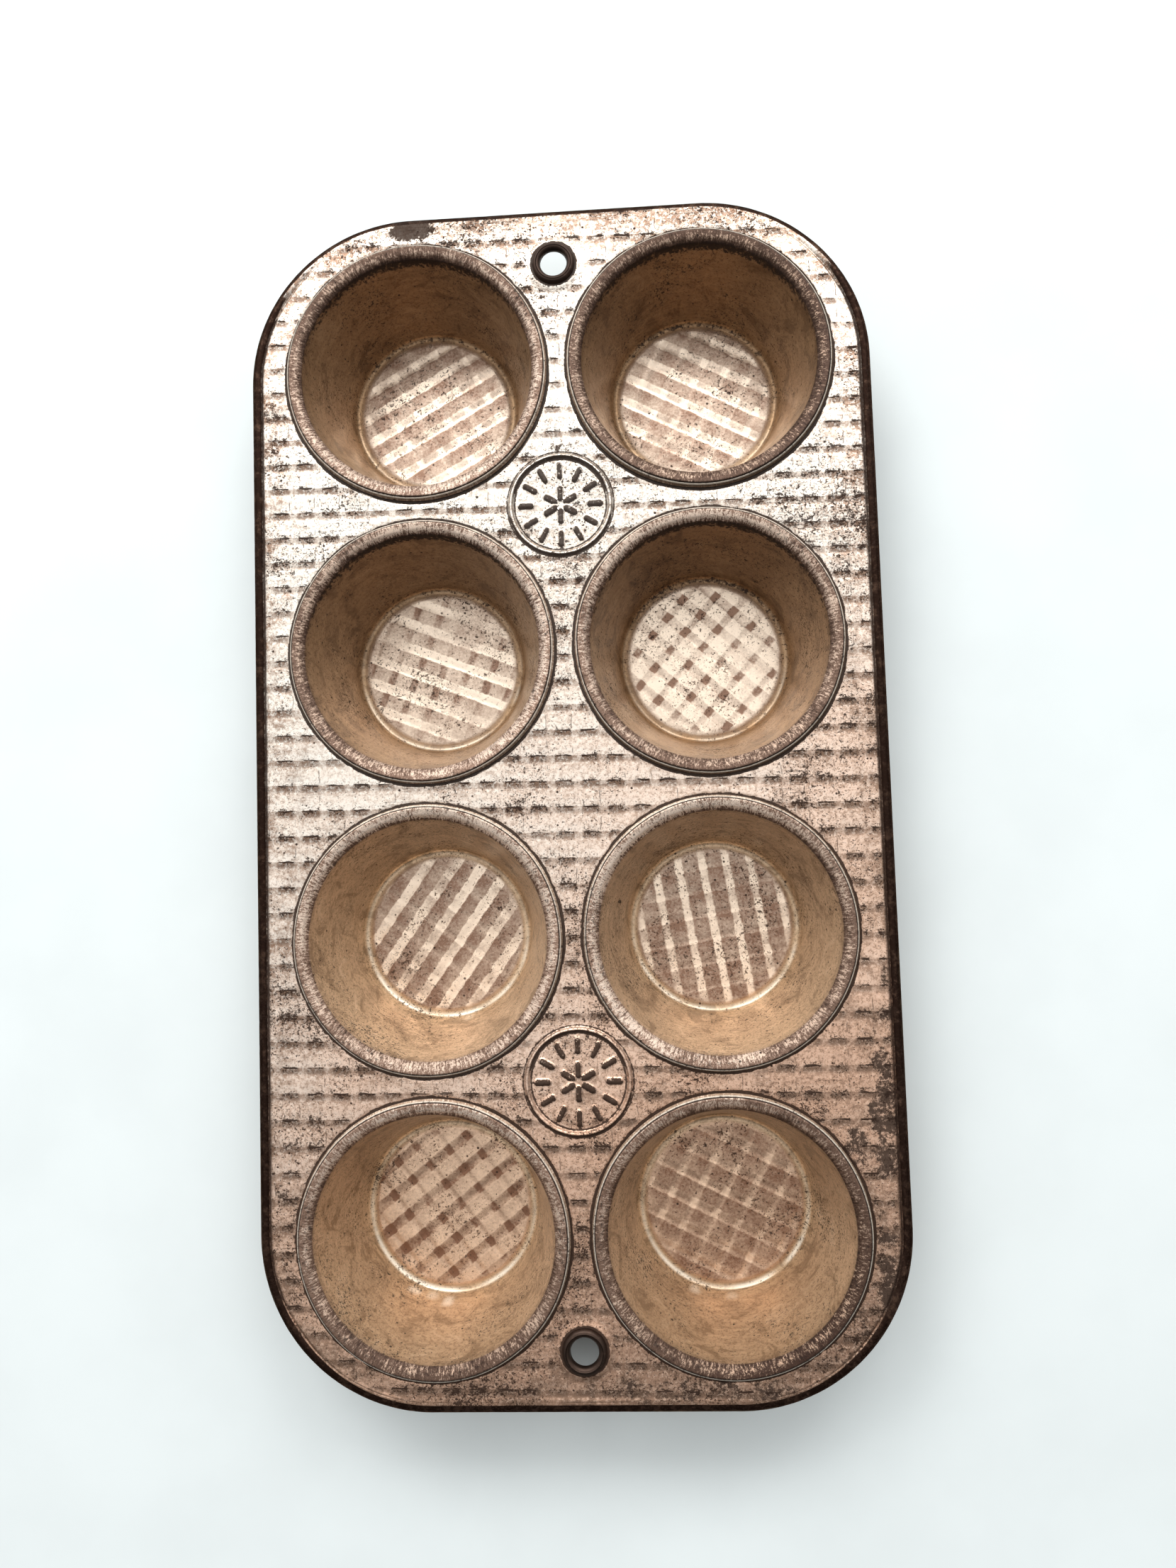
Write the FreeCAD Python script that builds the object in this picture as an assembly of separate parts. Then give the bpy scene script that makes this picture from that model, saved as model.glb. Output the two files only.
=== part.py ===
import FreeCAD, Part
import math
import os

# Muffin tin: a pressed tinplate frame, eight drawn cups crimped into it, an edge wire and two eyelets.
# The origin is under the centre of the tin, on the surface that the cups stand on.
# +Y runs along the tin's length and +Z points out of the cups' mouths.

# Driving dimensions, in millimetres. Bend radii are those of the sheet's middle line.
SHEET = 0.5                  # thickness of every pressed piece
OVERALL_WIDTH = 180.0        # across the rolled edge
OVERALL_LENGTH = 340.0
CORNER_RADIUS = 48.0         # outside of the rolled edge
PLATE_TOP = 32.5             # top face of the frame above the surface that the tin stands on
RIM_TOP = 34.9               # highest point of the cups' rims

CUP_PITCH = 82.0
CUP_COLUMNS = ("left", "right")
CUP_ROWS = 4
CUP_BASE_RADIUS = 26.0       # where the wall would meet the base without its bend
CUP_BASE_BEND = 1.8
LIP_RADIUS = 33.7            # inside of the rim, where the wall starts to turn over
LIP_HEIGHT = 33.25
BEAD_INNER_BEND = 1.3
BEAD_OUTER_BEND = 1.1
BEAD_OUTER_CORNER = 37.15    # where the bead's top and outer leg would meet without their bend
CREASE_RADIUS = 36.35        # where the bead is pinched in above its foot
CREASE_BEND = 0.3
RIM_RADIUS = 38.1            # outside of the rim's flat foot

COLLAR_RADIUS = 34.55        # the frame's upturned collar inside each rim
COLLAR_CURL_RADIUS = 36.0
COLLAR_TOP = 34.1
COLLAR_END = 33.35
COLLAR_BEND = 0.7
COLLAR_ROOT_BEND = 0.45
COLLAR_REACH = 37.5          # how far round a cup its collar's section runs into the flat frame

WIRE_RADIUS = 1.1
WIRE_GAP = 1.0               # between the wire's two butted ends
ROLL_DROP = 0.2              # top of the rolled edge below the frame's top face
ROLL_TAIL = 0.3
SHOULDER_INSET = 3.8         # from the tin's outside to where the frame drops into its gutter
SHOULDER_BEND = 0.5
GUTTER_BEND = 0.4
GUTTER_RUN = 1.5             # from the wire's centre in to the bottom of the gutter
GUTTER_RISE = 0.41
EDGE_STRIP = 8.0             # width of the swept strip that carries the rolled edge

HANGING_HOLE_Y = 153.3
EYELET_BORE_RADIUS = 3.85
EYELET_CURL_BEND = 1.05
EYELET_CURL_HEIGHT = 0.2     # centre of the curl above its seat
EYELET_FLANGE_RADIUS = 6.0
EYELET_FLANGE_BEND = 0.3
EYELET_CLEARANCE = 0.05
SEAT_RISE = 0.4              # raised seat round each hanging hole
SEAT_RADIUS = 7.0
SEAT_FOOT_RADIUS = 8.2
SEAT_REACH = 9.5
SEAT_BEND = 0.8

MEDALLION_PLACES = ((0.0, 82.0), (0.4, -81.0))     # X and Y of each; the second is struck off centre
MEDALLION_RING_RADIUS = 14.3
MEDALLION_RING_RISE = 1.2    # height of the ring's middle line before its bends
MEDALLION_RING_HALF_WIDTH = 0.9
MEDALLION_RING_BEND = 0.45
MEDALLION_REACH = 1.9        # from the ring's middle to where the flat frame starts again
ORNAMENT_RISE = 0.45
ORNAMENT_ROOT = 0.2          # how deep an ornament's solid starts inside the sheet
BARS = 12
BAR_INNER_RADIUS = 8.6
BAR_OUTER_RADIUS = 11.4
BAR_HALF_WIDTH = 0.6
PETALS = 6
PETAL_INNER_RADIUS = 2.0
PETAL_OUTER_RADIUS = 4.4
PETAL_HALF_WIDTH = 0.75

SHEET_MIDDLE = PLATE_TOP - SHEET / 2
PLATE_UNDERSIDE = PLATE_TOP - SHEET
ROLL_BEND = WIRE_RADIUS + SHEET / 2
ROLL_INSET = WIRE_RADIUS + SHEET
ROLL_HEIGHT = PLATE_TOP - ROLL_DROP - ROLL_INSET
TINY = 1e-6

UP = FreeCAD.Vector(0, 0, 1)
AXIS_POINT = FreeCAD.Vector(0, 0, 0)

os.makedirs("parts", exist_ok=True)


def save(node, shape):
    if not shape.isValid() or len(shape.Solids) != 1:
        raise ValueError(node + " is not one valid solid")
    shape.Solids[0].exportStep("parts/" + node + ".step")


def direction(start, end):
    step = end - start
    step.normalize()
    return step


def offset_bend(before, corner, after, bend, shift):
    """The arc that rounds a corner, on the face of the sheet that lies shift to the path's left."""
    back = direction(corner, before)
    forth = direction(corner, after)
    half_angle = back.getAngle(forth) / 2
    bisector = back + forth
    bisector.normalize()
    centre = corner + bisector * (bend / math.sin(half_angle))
    run = bend / math.tan(half_angle)
    spots = (corner + back * run, centre - bisector * bend, corner + forth * run)
    left = FreeCAD.Vector(back.z, 0, -back.x)
    towards_centre = 1 if (centre - spots[0]).dot(left) > 0 else -1
    scale = (bend - towards_centre * shift) / bend
    return [centre + (spot - centre) * scale for spot in spots]


def sheet_face(path, shift):
    """The points of one face of a bent sheet: one for each end, three for each bend's arc."""
    corners = [FreeCAD.Vector(r, 0, z) for r, z, bend in path]
    spots = []
    for i, (r, z, bend) in enumerate(path):
        if 0 < i < len(path) - 1:
            spots.append(offset_bend(corners[i - 1], corners[i], corners[i + 1], bend, shift))
            continue
        along = direction(corners[max(i - 1, 0)], corners[max(i, 1)])
        left = FreeCAD.Vector(-along.z, 0, along.x)
        spots.append([corners[i] + left * shift])
    return spots


def sheet_section(path):
    """Closed section, in the XZ plane, of a sheet whose middle line follows (r, z, bend radius)."""
    edges = []
    left = sheet_face(path, SHEET / 2)
    right = sheet_face(path, -SHEET / 2)
    for spots in (left, right):
        for before, here in zip(spots, spots[1:]):
            if before[-1].distanceToPoint(here[0]) > TINY:
                edges.append(Part.LineSegment(before[-1], here[0]).toShape())
            if len(here) == 3:
                edges.append(Part.Arc(*here).toShape())
    edges.append(Part.LineSegment(left[0][0], right[0][0]).toShape())
    edges.append(Part.LineSegment(left[-1][0], right[-1][0]).toShape())
    return Part.Wire(Part.__sortEdges__(edges))


def turned(path):
    """A bent sheet turned about the Z axis."""
    return Part.Face(sheet_section(path)).revolve(AXIS_POINT, UP, 360)


def outline(inset, z, gap=0.0):
    """Line parallel to the tin's edge, from the middle of the +X side round to it again."""
    x = OVERALL_WIDTH / 2 - inset
    y = OVERALL_LENGTH / 2 - inset
    radius = CORNER_RADIUS - inset
    last = FreeCAD.Vector(x, gap / 2, z)
    edges = []
    for quarter, (sx, sy) in enumerate(((1, 1), (-1, 1), (-1, -1), (1, -1))):
        centre = FreeCAD.Vector(sx * (x - radius), sy * (y - radius), z)
        turns = [math.radians(90 * quarter + step) for step in (0, 45, 90)]
        arc = [centre + FreeCAD.Vector(radius * math.cos(turn), radius * math.sin(turn), 0) for turn in turns]
        edges.append(Part.LineSegment(last, arc[0]).toShape())
        edges.append(Part.Arc(*arc).toShape())
        last = arc[2]
    edges.append(Part.LineSegment(last, FreeCAD.Vector(x, -gap / 2, z)).toShape())
    return Part.Wire(edges)


def cup_places():
    """Name and centre of each cup, row by row from the +Y end."""
    places = []
    for row in range(CUP_ROWS):
        y = CUP_PITCH * ((CUP_ROWS - 1) / 2 - row)
        for column, side in enumerate(CUP_COLUMNS):
            x = CUP_PITCH * (column - (len(CUP_COLUMNS) - 1) / 2)
            places.append(("cup_%d_%s" % (row + 1, side), FreeCAD.Vector(x, y, 0)))
    return places


def cup():
    """Drawn cup: base, tapered wall and the rim that curls over the frame's collar."""
    wall_radius = LIP_RADIUS + SHEET / 2
    taper = (wall_radius - CUP_BASE_RADIUS) / (LIP_HEIGHT - SHEET / 2)
    bead_top = RIM_TOP - SHEET / 2
    foot = PLATE_TOP + SHEET / 2
    return turned([
        (0, SHEET / 2, 0),
        (CUP_BASE_RADIUS, SHEET / 2, CUP_BASE_BEND),
        (wall_radius + taper * (bead_top - LIP_HEIGHT), bead_top, BEAD_INNER_BEND),
        (BEAD_OUTER_CORNER, bead_top, BEAD_OUTER_BEND),
        (CREASE_RADIUS, foot, CREASE_BEND),
        (RIM_RADIUS, foot, 0),
    ])


def collar():
    """The ring of frame round a cup, turned up and curled outwards inside the cup's rim."""
    return turned([
        (COLLAR_REACH, SHEET_MIDDLE, 0),
        (COLLAR_RADIUS, SHEET_MIDDLE, COLLAR_ROOT_BEND),
        (COLLAR_RADIUS, COLLAR_TOP, COLLAR_BEND),
        (COLLAR_CURL_RADIUS, COLLAR_TOP, COLLAR_BEND),
        (COLLAR_CURL_RADIUS, COLLAR_END, 0),
    ])


def hanging_seat():
    """The ring of frame round a hanging hole, raised where the eyelet sits."""
    seat_middle = SHEET_MIDDLE + SEAT_RISE
    hole_radius = EYELET_BORE_RADIUS + SHEET + EYELET_CLEARANCE
    return turned([
        (SEAT_REACH, SHEET_MIDDLE, 0),
        (SEAT_FOOT_RADIUS, SHEET_MIDDLE, SEAT_BEND),
        (SEAT_RADIUS, seat_middle, SEAT_BEND),
        (hole_radius, seat_middle, 0),
    ])


def medallion_ring():
    """The raised bead round a medallion."""
    ring = MEDALLION_RING_RADIUS
    return turned([
        (ring - MEDALLION_REACH, SHEET_MIDDLE, 0),
        (ring - MEDALLION_RING_HALF_WIDTH, SHEET_MIDDLE, MEDALLION_RING_BEND),
        (ring, SHEET_MIDDLE + MEDALLION_RING_RISE, MEDALLION_RING_BEND),
        (ring + MEDALLION_RING_HALF_WIDTH, SHEET_MIDDLE, MEDALLION_RING_BEND),
        (ring + MEDALLION_REACH, SHEET_MIDDLE, 0),
    ])


def raised_bar(inner, outer, half_width, turn):
    """Embossed bar with round ends, along a radius of a medallion."""
    height = ORNAMENT_ROOT + ORNAMENT_RISE
    start = FreeCAD.Vector(inner, 0, PLATE_TOP - ORNAMENT_ROOT)
    end = FreeCAD.Vector(outer, 0, PLATE_TOP - ORNAMENT_ROOT)
    middle = Part.makeBox(outer - inner, 2 * half_width, height, start - FreeCAD.Vector(0, half_width, 0))
    ends = [Part.makeCylinder(half_width, height, spot) for spot in (start, end)]
    bar = middle.multiFuse(ends).removeSplitter()
    bar.rotate(AXIS_POINT, UP, turn)
    return bar


def medallion_ornament():
    """A plain rosette: an outer circle of bars round a six-petalled flower."""
    bars = [raised_bar(BAR_INNER_RADIUS, BAR_OUTER_RADIUS, BAR_HALF_WIDTH, 360 * i / BARS)
            for i in range(BARS)]
    petals = [raised_bar(PETAL_INNER_RADIUS, PETAL_OUTER_RADIUS, PETAL_HALF_WIDTH, 360 * (i + 0.5) / PETALS)
              for i in range(PETALS)]
    return bars + petals


def rolled_edge():
    """The frame's outer strip: a shoulder, a gutter and the roll round the edge wire."""
    centre = CORNER_RADIUS - ROLL_INSET
    square = ROLL_BEND * math.sqrt(2)
    tail = ROLL_BEND / math.sqrt(2) + ROLL_TAIL
    tail_height = ROLL_HEIGHT - (square - tail)
    path = [
        (CORNER_RADIUS - EDGE_STRIP, SHEET_MIDDLE, 0),
        (CORNER_RADIUS - SHOULDER_INSET, SHEET_MIDDLE, SHOULDER_BEND),
        (centre - GUTTER_RUN, ROLL_HEIGHT + GUTTER_RISE, GUTTER_BEND),
        (centre, ROLL_HEIGHT + square, ROLL_BEND),
        (centre + square, ROLL_HEIGHT, ROLL_BEND),
        (centre, ROLL_HEIGHT - square, ROLL_BEND),
        (centre - tail, tail_height, 0),
    ]
    section = sheet_section(path)
    section.translate(FreeCAD.Vector(OVERALL_WIDTH / 2 - CORNER_RADIUS, 0, 0))
    return outline(0, 0).makePipeShell([section], True, False)


def top_plate():
    """The frame that holds the cups."""
    flat = Part.Face(outline(EDGE_STRIP, PLATE_UNDERSIDE)).extrude(UP * SHEET)
    rings = []
    holes = []
    raised = []
    tall = 3 * SHEET

    def replace_ring(ring, outer, centre, inner=None):
        spot = centre + UP * (PLATE_UNDERSIDE - SHEET)
        hole = Part.makeCylinder(outer, tall, spot)
        if inner:
            hole = hole.cut(Part.makeCylinder(inner, tall, spot))
        holes.append(hole)
        rings.append(ring.translated(centre))

    for name, centre in cup_places():
        replace_ring(collar(), COLLAR_REACH, centre)
    for side in (1, -1):
        replace_ring(hanging_seat(), SEAT_REACH, FreeCAD.Vector(0, side * HANGING_HOLE_Y, 0))
    for x, y in MEDALLION_PLACES:
        centre = FreeCAD.Vector(x, y, 0)
        outer = MEDALLION_RING_RADIUS + MEDALLION_REACH
        inner = MEDALLION_RING_RADIUS - MEDALLION_REACH
        replace_ring(medallion_ring(), outer, centre, inner)
        raised.extend(piece.translated(centre) for piece in medallion_ornament())
    plate = flat.cut(holes).multiFuse([rolled_edge()] + rings).removeSplitter()
    return plate.multiFuse(raised).removeSplitter()


def edge_wire():
    """Stiffening wire inside the rolled edge, its ends butted half-way along the +X side."""
    x = OVERALL_WIDTH / 2 - ROLL_INSET
    start = FreeCAD.Vector(x, WIRE_GAP / 2, ROLL_HEIGHT)
    section = Part.Wire(Part.Circle(start, FreeCAD.Vector(0, 1, 0), WIRE_RADIUS).toShape())
    return outline(ROLL_INSET, ROLL_HEIGHT, WIRE_GAP).makePipeShell([section], True, False)


def hanging_eyelet():
    """Pressed eyelet: a flange under the frame, a short bore and a curl on top."""
    bore_middle = EYELET_BORE_RADIUS + SHEET / 2
    seat = PLATE_TOP + SEAT_RISE
    flange = seat - SHEET - SHEET / 2
    top = seat + EYELET_CURL_HEIGHT + EYELET_CURL_BEND
    curl_outer = bore_middle + 2 * EYELET_CURL_BEND
    return turned([
        (EYELET_FLANGE_RADIUS, flange, 0),
        (bore_middle, flange, EYELET_FLANGE_BEND),
        (bore_middle, top, EYELET_CURL_BEND),
        (curl_outer, top, EYELET_CURL_BEND),
        (curl_outer, seat, 0),
    ])


save("top_plate", top_plate())
save("edge_wire", edge_wire())
for name, centre in cup_places():
    save(name, cup().translated(centre))
for name, side in (("hanging_eyelet_back", 1), ("hanging_eyelet_front", -1)):
    save(name, hanging_eyelet().translated(FreeCAD.Vector(0, side * HANGING_HOLE_Y, 0)))
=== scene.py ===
"""Muffin tin in worn, brown-stained waffle-textured tinplate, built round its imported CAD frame.

Lengths in this file are millimetres until a mesh is made, which is in metres.
"""
import cmath
from collections import namedtuple
from functools import reduce
import math
import bpy
import numpy as np
from mathutils import Matrix, Vector
from mathutils.geometry import delaunay_2d_cdt


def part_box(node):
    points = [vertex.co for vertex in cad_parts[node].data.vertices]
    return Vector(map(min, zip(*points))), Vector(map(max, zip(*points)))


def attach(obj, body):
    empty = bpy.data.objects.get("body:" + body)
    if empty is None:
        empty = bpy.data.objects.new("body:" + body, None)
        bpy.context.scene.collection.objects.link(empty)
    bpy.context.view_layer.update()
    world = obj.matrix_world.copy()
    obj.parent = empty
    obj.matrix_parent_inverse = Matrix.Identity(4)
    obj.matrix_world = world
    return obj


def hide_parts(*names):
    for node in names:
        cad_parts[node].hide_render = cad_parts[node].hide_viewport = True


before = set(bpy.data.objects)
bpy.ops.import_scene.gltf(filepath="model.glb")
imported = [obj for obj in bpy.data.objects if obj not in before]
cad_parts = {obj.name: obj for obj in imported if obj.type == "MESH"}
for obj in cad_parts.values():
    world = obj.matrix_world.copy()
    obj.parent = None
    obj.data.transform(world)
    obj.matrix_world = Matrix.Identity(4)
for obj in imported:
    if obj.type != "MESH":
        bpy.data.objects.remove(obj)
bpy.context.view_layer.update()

MM = 0.001

# The sheet and its bends repeat the CAD frame's
SHEET = 0.5
HALF_SHEET = SHEET / 2
PLATE_TOP = 32.5
PLATE_MIDDLE = PLATE_TOP - HALF_SHEET
CORNER_RADIUS = 48.0
BEND_STEP = math.radians(15)

RIM_RADIUS = 38.1
COLLAR_REACH = 37.5
MEDALLION_RING_RADIUS = 14.3
SEAT_REACH = 9.5
SEAT_HOLE_RADIUS = 4.4

# The waffle pattern rolled into the sheet
WAFFLE_PITCH = 7.2
HALF_PITCH = WAFFLE_PITCH / 2
BAND_HALF_WIDTH = 1.3
ROW_DEPTH = 0.13
COLUMN_DEPTH = 0.10
# The frame's sheet was rolled a little stretched and out of square
FRAME_WAFFLE = np.array([[WAFFLE_PITCH / 7.27, 0.0046], [0.0152, WAFFLE_PITCH / 7.22]])
FRAME_WAFFLE_ORIGIN = np.array((2.5, 1.3))

# How each cup looks: how far its blank was turned, in degrees; how bright its bottom's columns and rows
# are beside the tiles, and the tiles' own level, painting the bottom's highlights and shade; how bright the
# wall's painted highlight at the foot is; how far the wall is darkened by browning and painted shade, and
# how much further at -Y; how grimy the rim is, how much that swings round it and the grimiest heading in
# degrees
CupLook = namedtuple("CupLook", "turn stripes foot_shine browned rim_grime")
CUP_LOOKS = {
    "cup_1_left": CupLook(29, (0.08, 0.62, 0.18), 0.15, (0.88, -0.18), (0.34, 0.28, 120)),
    "cup_1_right": CupLook(-28, (0.10, 0.55, 0.22), 0.15, (0.92, -0.42), (0.71, 0.12, 10)),
    "cup_2_left": CupLook(-22, (-0.32, 0.62, 0.46), 0.45, (0.80, 0.0), (0.24, 0.34, 190)),
    "cup_2_right": CupLook(-42, (-0.34, -0.34, 0.96), 0.30, (0.95, 0.0), (0.40, 0.24, -60)),
    "cup_3_left": CupLook(54, (0.10, 0.80, 0.16), 0.85, (0.0, 0.0), (0.12, 0.24, -110)),
    "cup_3_right": CupLook(9, (0.85, 0.10, 0.14), 0.70, (0.15, 0.0), (0.14, 0.42, -20)),
    "cup_4_left": CupLook(38, (-0.14, -0.46, 0.76), 0.95, (0.0, 0.34), (0.36, 0.40, -90)),
    "cup_4_right": CupLook(-27, (0.17, 0.19, 0.20), 0.75, (0.0, 0.52), (0.60, 0.34, -60)),
}


def centre_mm(node):
    return np.mean(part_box(node), axis=0)[:2] / MM


CUPS = {name: centre_mm(name) for name in CUP_LOOKS}
EYELETS = {name: centre_mm(name) for name in ("hanging_eyelet_back", "hanging_eyelet_front")}
HALF_WIDTH, HALF_LENGTH = np.array(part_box("top_plate")[1][:2]) / MM
MEDALLIONS = [np.array((0.0, 82.0)), np.array((0.4, -81.0))]


# ---------------- sheet sections

def bent_face(path, side):
    """Points (r, z) of one face of a sheet whose middle line follows (r, z, bend radius)."""
    spots = [complex(r, z) for r, z, bend in path]
    steps = [b - a for a, b in zip(spots, spots[1:])]
    along = [step / abs(step) for step in steps]
    half = side * HALF_SHEET
    face = [spots[0] + along[0] * 1j * half]
    for here, into, out, (r, z, bend) in zip(spots[1:-1], along, along[1:], path[1:-1]):
        turn = cmath.phase(out / into)
        hand = math.copysign(1, turn)
        start = here - into * bend * math.tan(abs(turn) / 2)
        centre = start + into * 1j * hand * bend
        arm = -into * 1j * hand * (bend - hand * half)
        count = max(2, math.ceil(abs(turn) / BEND_STEP))
        face += [centre + arm * cmath.exp(1j * turn * k / count) for k in range(count + 1)]
    face.append(spots[-1] + along[-1] * 1j * half)
    return np.array([(spot.real, spot.imag) for spot in face])


def with_steps(points, longest):
    """The same line with no step longer than the given one."""
    dense = [points[0]]
    for a, b in zip(points, points[1:]):
        count = max(1, math.ceil(np.hypot(*(b - a)) / longest))
        dense += [a + (b - a) * k / count for k in range(1, count + 1)]
    return np.array(dense)


def line_normals(points):
    """Unit normals to the left of a line of (r, z) points."""
    ahead = np.gradient(points, axis=0)
    normals = np.stack([-ahead[:, 1], ahead[:, 0]], 1)
    return normals / np.linalg.norm(normals, axis=1, keepdims=True)


# ---------------- relief

def smooth(value, low, high):
    """0 below low, 1 above high, and a smooth rise between. low may be the higher one."""
    t = np.clip((value - low) / (high - low), 0, 1)
    return t * t * (3 - 2 * t)


def from_band(t):
    """Signed distance from the nearest band's middle line."""
    return (t + HALF_PITCH) % WAFFLE_PITCH - HALF_PITCH


def waffle(u, v):
    """Depth of the waffle texture. The rows are deepest near their -V edge and have a step there."""
    column = 0.5 + 0.5 * np.cos(math.pi * np.clip(np.abs(from_band(u)) / BAND_HALF_WIDTH, 0, 1))
    across = from_band(v)
    row = smooth(across, BAND_HALF_WIDTH, -0.7) * smooth(across, -BAND_HALF_WIDTH - 0.25, -0.75)
    return -COLUMN_DEPTH * column - ROW_DEPTH * row * (1 - 0.75 * column)


def frame_waffle(x, y):
    """Waffle coordinates of the frame's sheet."""
    return np.moveaxis((np.stack([x, y], -1) - FRAME_WAFFLE_ORIGIN) @ FRAME_WAFFLE.T, -1, 0)


WANDER_WAVES = 6


def wander(x, y, seed, wavelength):
    """Slow random waves between about -1 and 1."""
    draw = np.random.default_rng(seed)
    total = np.zeros(np.shape(x))
    for _ in range(WANDER_WAVES):
        heading = draw.uniform(0, 2 * math.pi)
        length = wavelength * draw.uniform(0.7, 1.5)
        phase = draw.uniform(0, 2 * math.pi)
        total += np.sin((x * math.cos(heading) + y * math.sin(heading)) * 2 * math.pi / length + phase)
    return total / WANDER_WAVES


def turned_waffle(x, y, degrees, origin):
    """Waffle coordinates of a sheet that has been turned and shifted."""
    a = math.radians(degrees)
    u = x * math.cos(a) + y * math.sin(a) - origin[0]
    v = -x * math.sin(a) + y * math.cos(a) - origin[1]
    return u, v


# ---------------- meshes

def vertex_normals(points, faces):
    """Area-weighted normals of a mesh given as arrays of triangles and quads."""
    normals = np.zeros_like(points)
    for group in faces:
        a, b, c, last = (points[group[:, k]] for k in (0, 1, 2, -1))
        cross = np.cross(c - a, last - b)
        for corner in group.T:
            np.add.at(normals, corner, cross)
    return normals / np.maximum(np.linalg.norm(normals, axis=1, keepdims=True), 1e-12)


def open_edges(faces):
    """Directed edges that only one face uses."""
    pairs = np.concatenate([np.stack([group, np.roll(group, -1, 1)], -1).swapaxes(0, 1).reshape(-1, 2)
                            for group in faces])
    size = pairs.max() + 1
    forward, backward = pairs @ (size, 1), pairs @ (1, size)
    return pairs[~np.isin(forward, backward)]


def make_mesh(name, points, faces, attributes, material):
    """A smooth-shaded object from millimetre points, with its per-point attributes."""
    mesh = bpy.data.meshes.new(name)
    loops = np.concatenate([group.ravel() for group in faces])
    sizes = np.concatenate([np.full(len(group), group.shape[1]) for group in faces])
    mesh.vertices.add(len(points))
    mesh.vertices.foreach_set("co", (points * MM).ravel())
    mesh.loops.add(len(loops))
    mesh.loops.foreach_set("vertex_index", loops.astype(np.int32))
    mesh.polygons.add(len(sizes))
    mesh.polygons.foreach_set("loop_start", (np.cumsum(sizes) - sizes).astype(np.int32))
    for label, values in attributes.items():
        kind, key = ("FLOAT_VECTOR", "vector") if values.ndim == 2 else ("FLOAT", "value")
        mesh.attributes.new(label, kind, "POINT").data.foreach_set(key, values.astype(np.float32).ravel())
    mesh.update(calc_edges=True)
    mesh.validate()
    mesh.shade_smooth()
    piece = bpy.data.objects.new(name, mesh)
    bpy.context.scene.collection.objects.link(piece)
    piece.data.materials.append(material)
    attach(piece, "root")
    return piece


def make_sheet(name, points, faces, attributes, material):
    """A closed sheet: the given face, its back one thickness behind, and the cut edges between."""
    count = len(points)
    back = points - vertex_normals(points, faces) * SHEET
    rim = open_edges(faces)
    walls = np.stack([rim[:, 1], rim[:, 0], rim[:, 0] + count, rim[:, 1] + count], 1)
    groups = [*faces, *(group[:, ::-1] + count for group in faces), walls]
    doubled = {label: np.concatenate([values, values]) for label, values in attributes.items()}
    return make_mesh(name, np.concatenate([points, back]), groups, doubled, material)


def joined(rows, outwards):
    """Quads between rows of point numbers that close round. outwards faces them the other way."""
    ahead = np.roll(rows, -1, axis=1)
    quads = np.stack([rows[:-1], ahead[:-1], ahead[1:], rows[1:]], -1).reshape(-1, 4)
    return quads[:, ::-1] if outwards else quads


def turned_rows(profile, segments):
    """Angles, and x, y and z of a profile turned about Z, one row for each profile point."""
    angles = np.arange(segments) * 2 * math.pi / segments
    r = profile[:, :1]
    return (np.broadcast_to(angles, (len(profile), segments)), r * np.cos(angles), r * np.sin(angles),
            np.repeat(profile[:, 1:], segments, axis=1))


# ---------------- materials

COLOUR_A, COLOUR_B, COLOUR_RESULT = 6, 7, 2      # places of a Mix node's colour sockets

CREAM = (0.94, 0.84, 0.73)
TAN = (0.80, 0.49, 0.335)
UMBER = (0.36, 0.215, 0.145)
BROWN = (0.30, 0.185, 0.125)
# painted shade below each row of the frame's waffle
ROW_SHADE = (0.20, 0.125, 0.086)
# bright flaked tin, also used for the painted highlight above each row
FLAKED_AND_HIGHLIGHT = (1.0, 0.94, 0.85)
FLAKED_TAN_AND_HIGHLIGHT = (0.80, 0.56, 0.42)
# painted shade at the frame's +Y end and its +X corner
FAR_END_SHADE = (0.80, 0.735, 0.69)
FAR_CORNER_SHADE = (0.72, 0.68, 0.65)
STAIN = (0.050, 0.032, 0.024)
EDGE_DARK = (0.020, 0.010, 0.007)
EDGE_RUBBED = (0.07, 0.040, 0.027)
# near-black for grime, also used for painted shade
SOOT_AND_SHADE = (0.026, 0.014, 0.010)

WALL_DARK = (0.57, 0.40, 0.25)
WALL_LIGHT = (0.76, 0.55, 0.355)
WALL_MOTTLE = (0.33, 0.215, 0.13)
WALL_GRAIN = (0.29, 0.185, 0.105)
WALL_SMEAR = (0.29, 0.19, 0.11)
WALL_RUBBED = (0.88, 0.67, 0.46)
WALL_SCRATCH = (0.20, 0.125, 0.07)
# darkening of a wall: partly baked-on browning, partly painted shade
WALL_BROWNING_AND_SHADE = (0.50, 0.41, 0.32)
# ends of the bottoms' level, which paints their highlights and shade
BOTTOM_DARK = (0.27, 0.16, 0.11)
BOTTOM_LIGHT = (1.0, 0.82, 0.65)
BOTTOM_REDDENING = (1.0, 0.86, 0.76)
RIM_DARK = (0.09, 0.050, 0.034)
RIM_BROWN = (0.36, 0.225, 0.16)
RIM_BARE = (0.88, 0.71, 0.58)
RIM_GRIME_TINT = (0.10, 0.066, 0.052)
BARE_GRIME_TINT = (0.60, 0.49, 0.41)
# painted highlight colour
PAINTED_HIGHLIGHT_COLOUR = (0.95, 0.86, 0.72)
EYELET_BLACK = (0.055, 0.034, 0.025)
WIRE_GREY = (0.16, 0.13, 0.11)
PAPER = (0.70, 0.745, 0.742)


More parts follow.
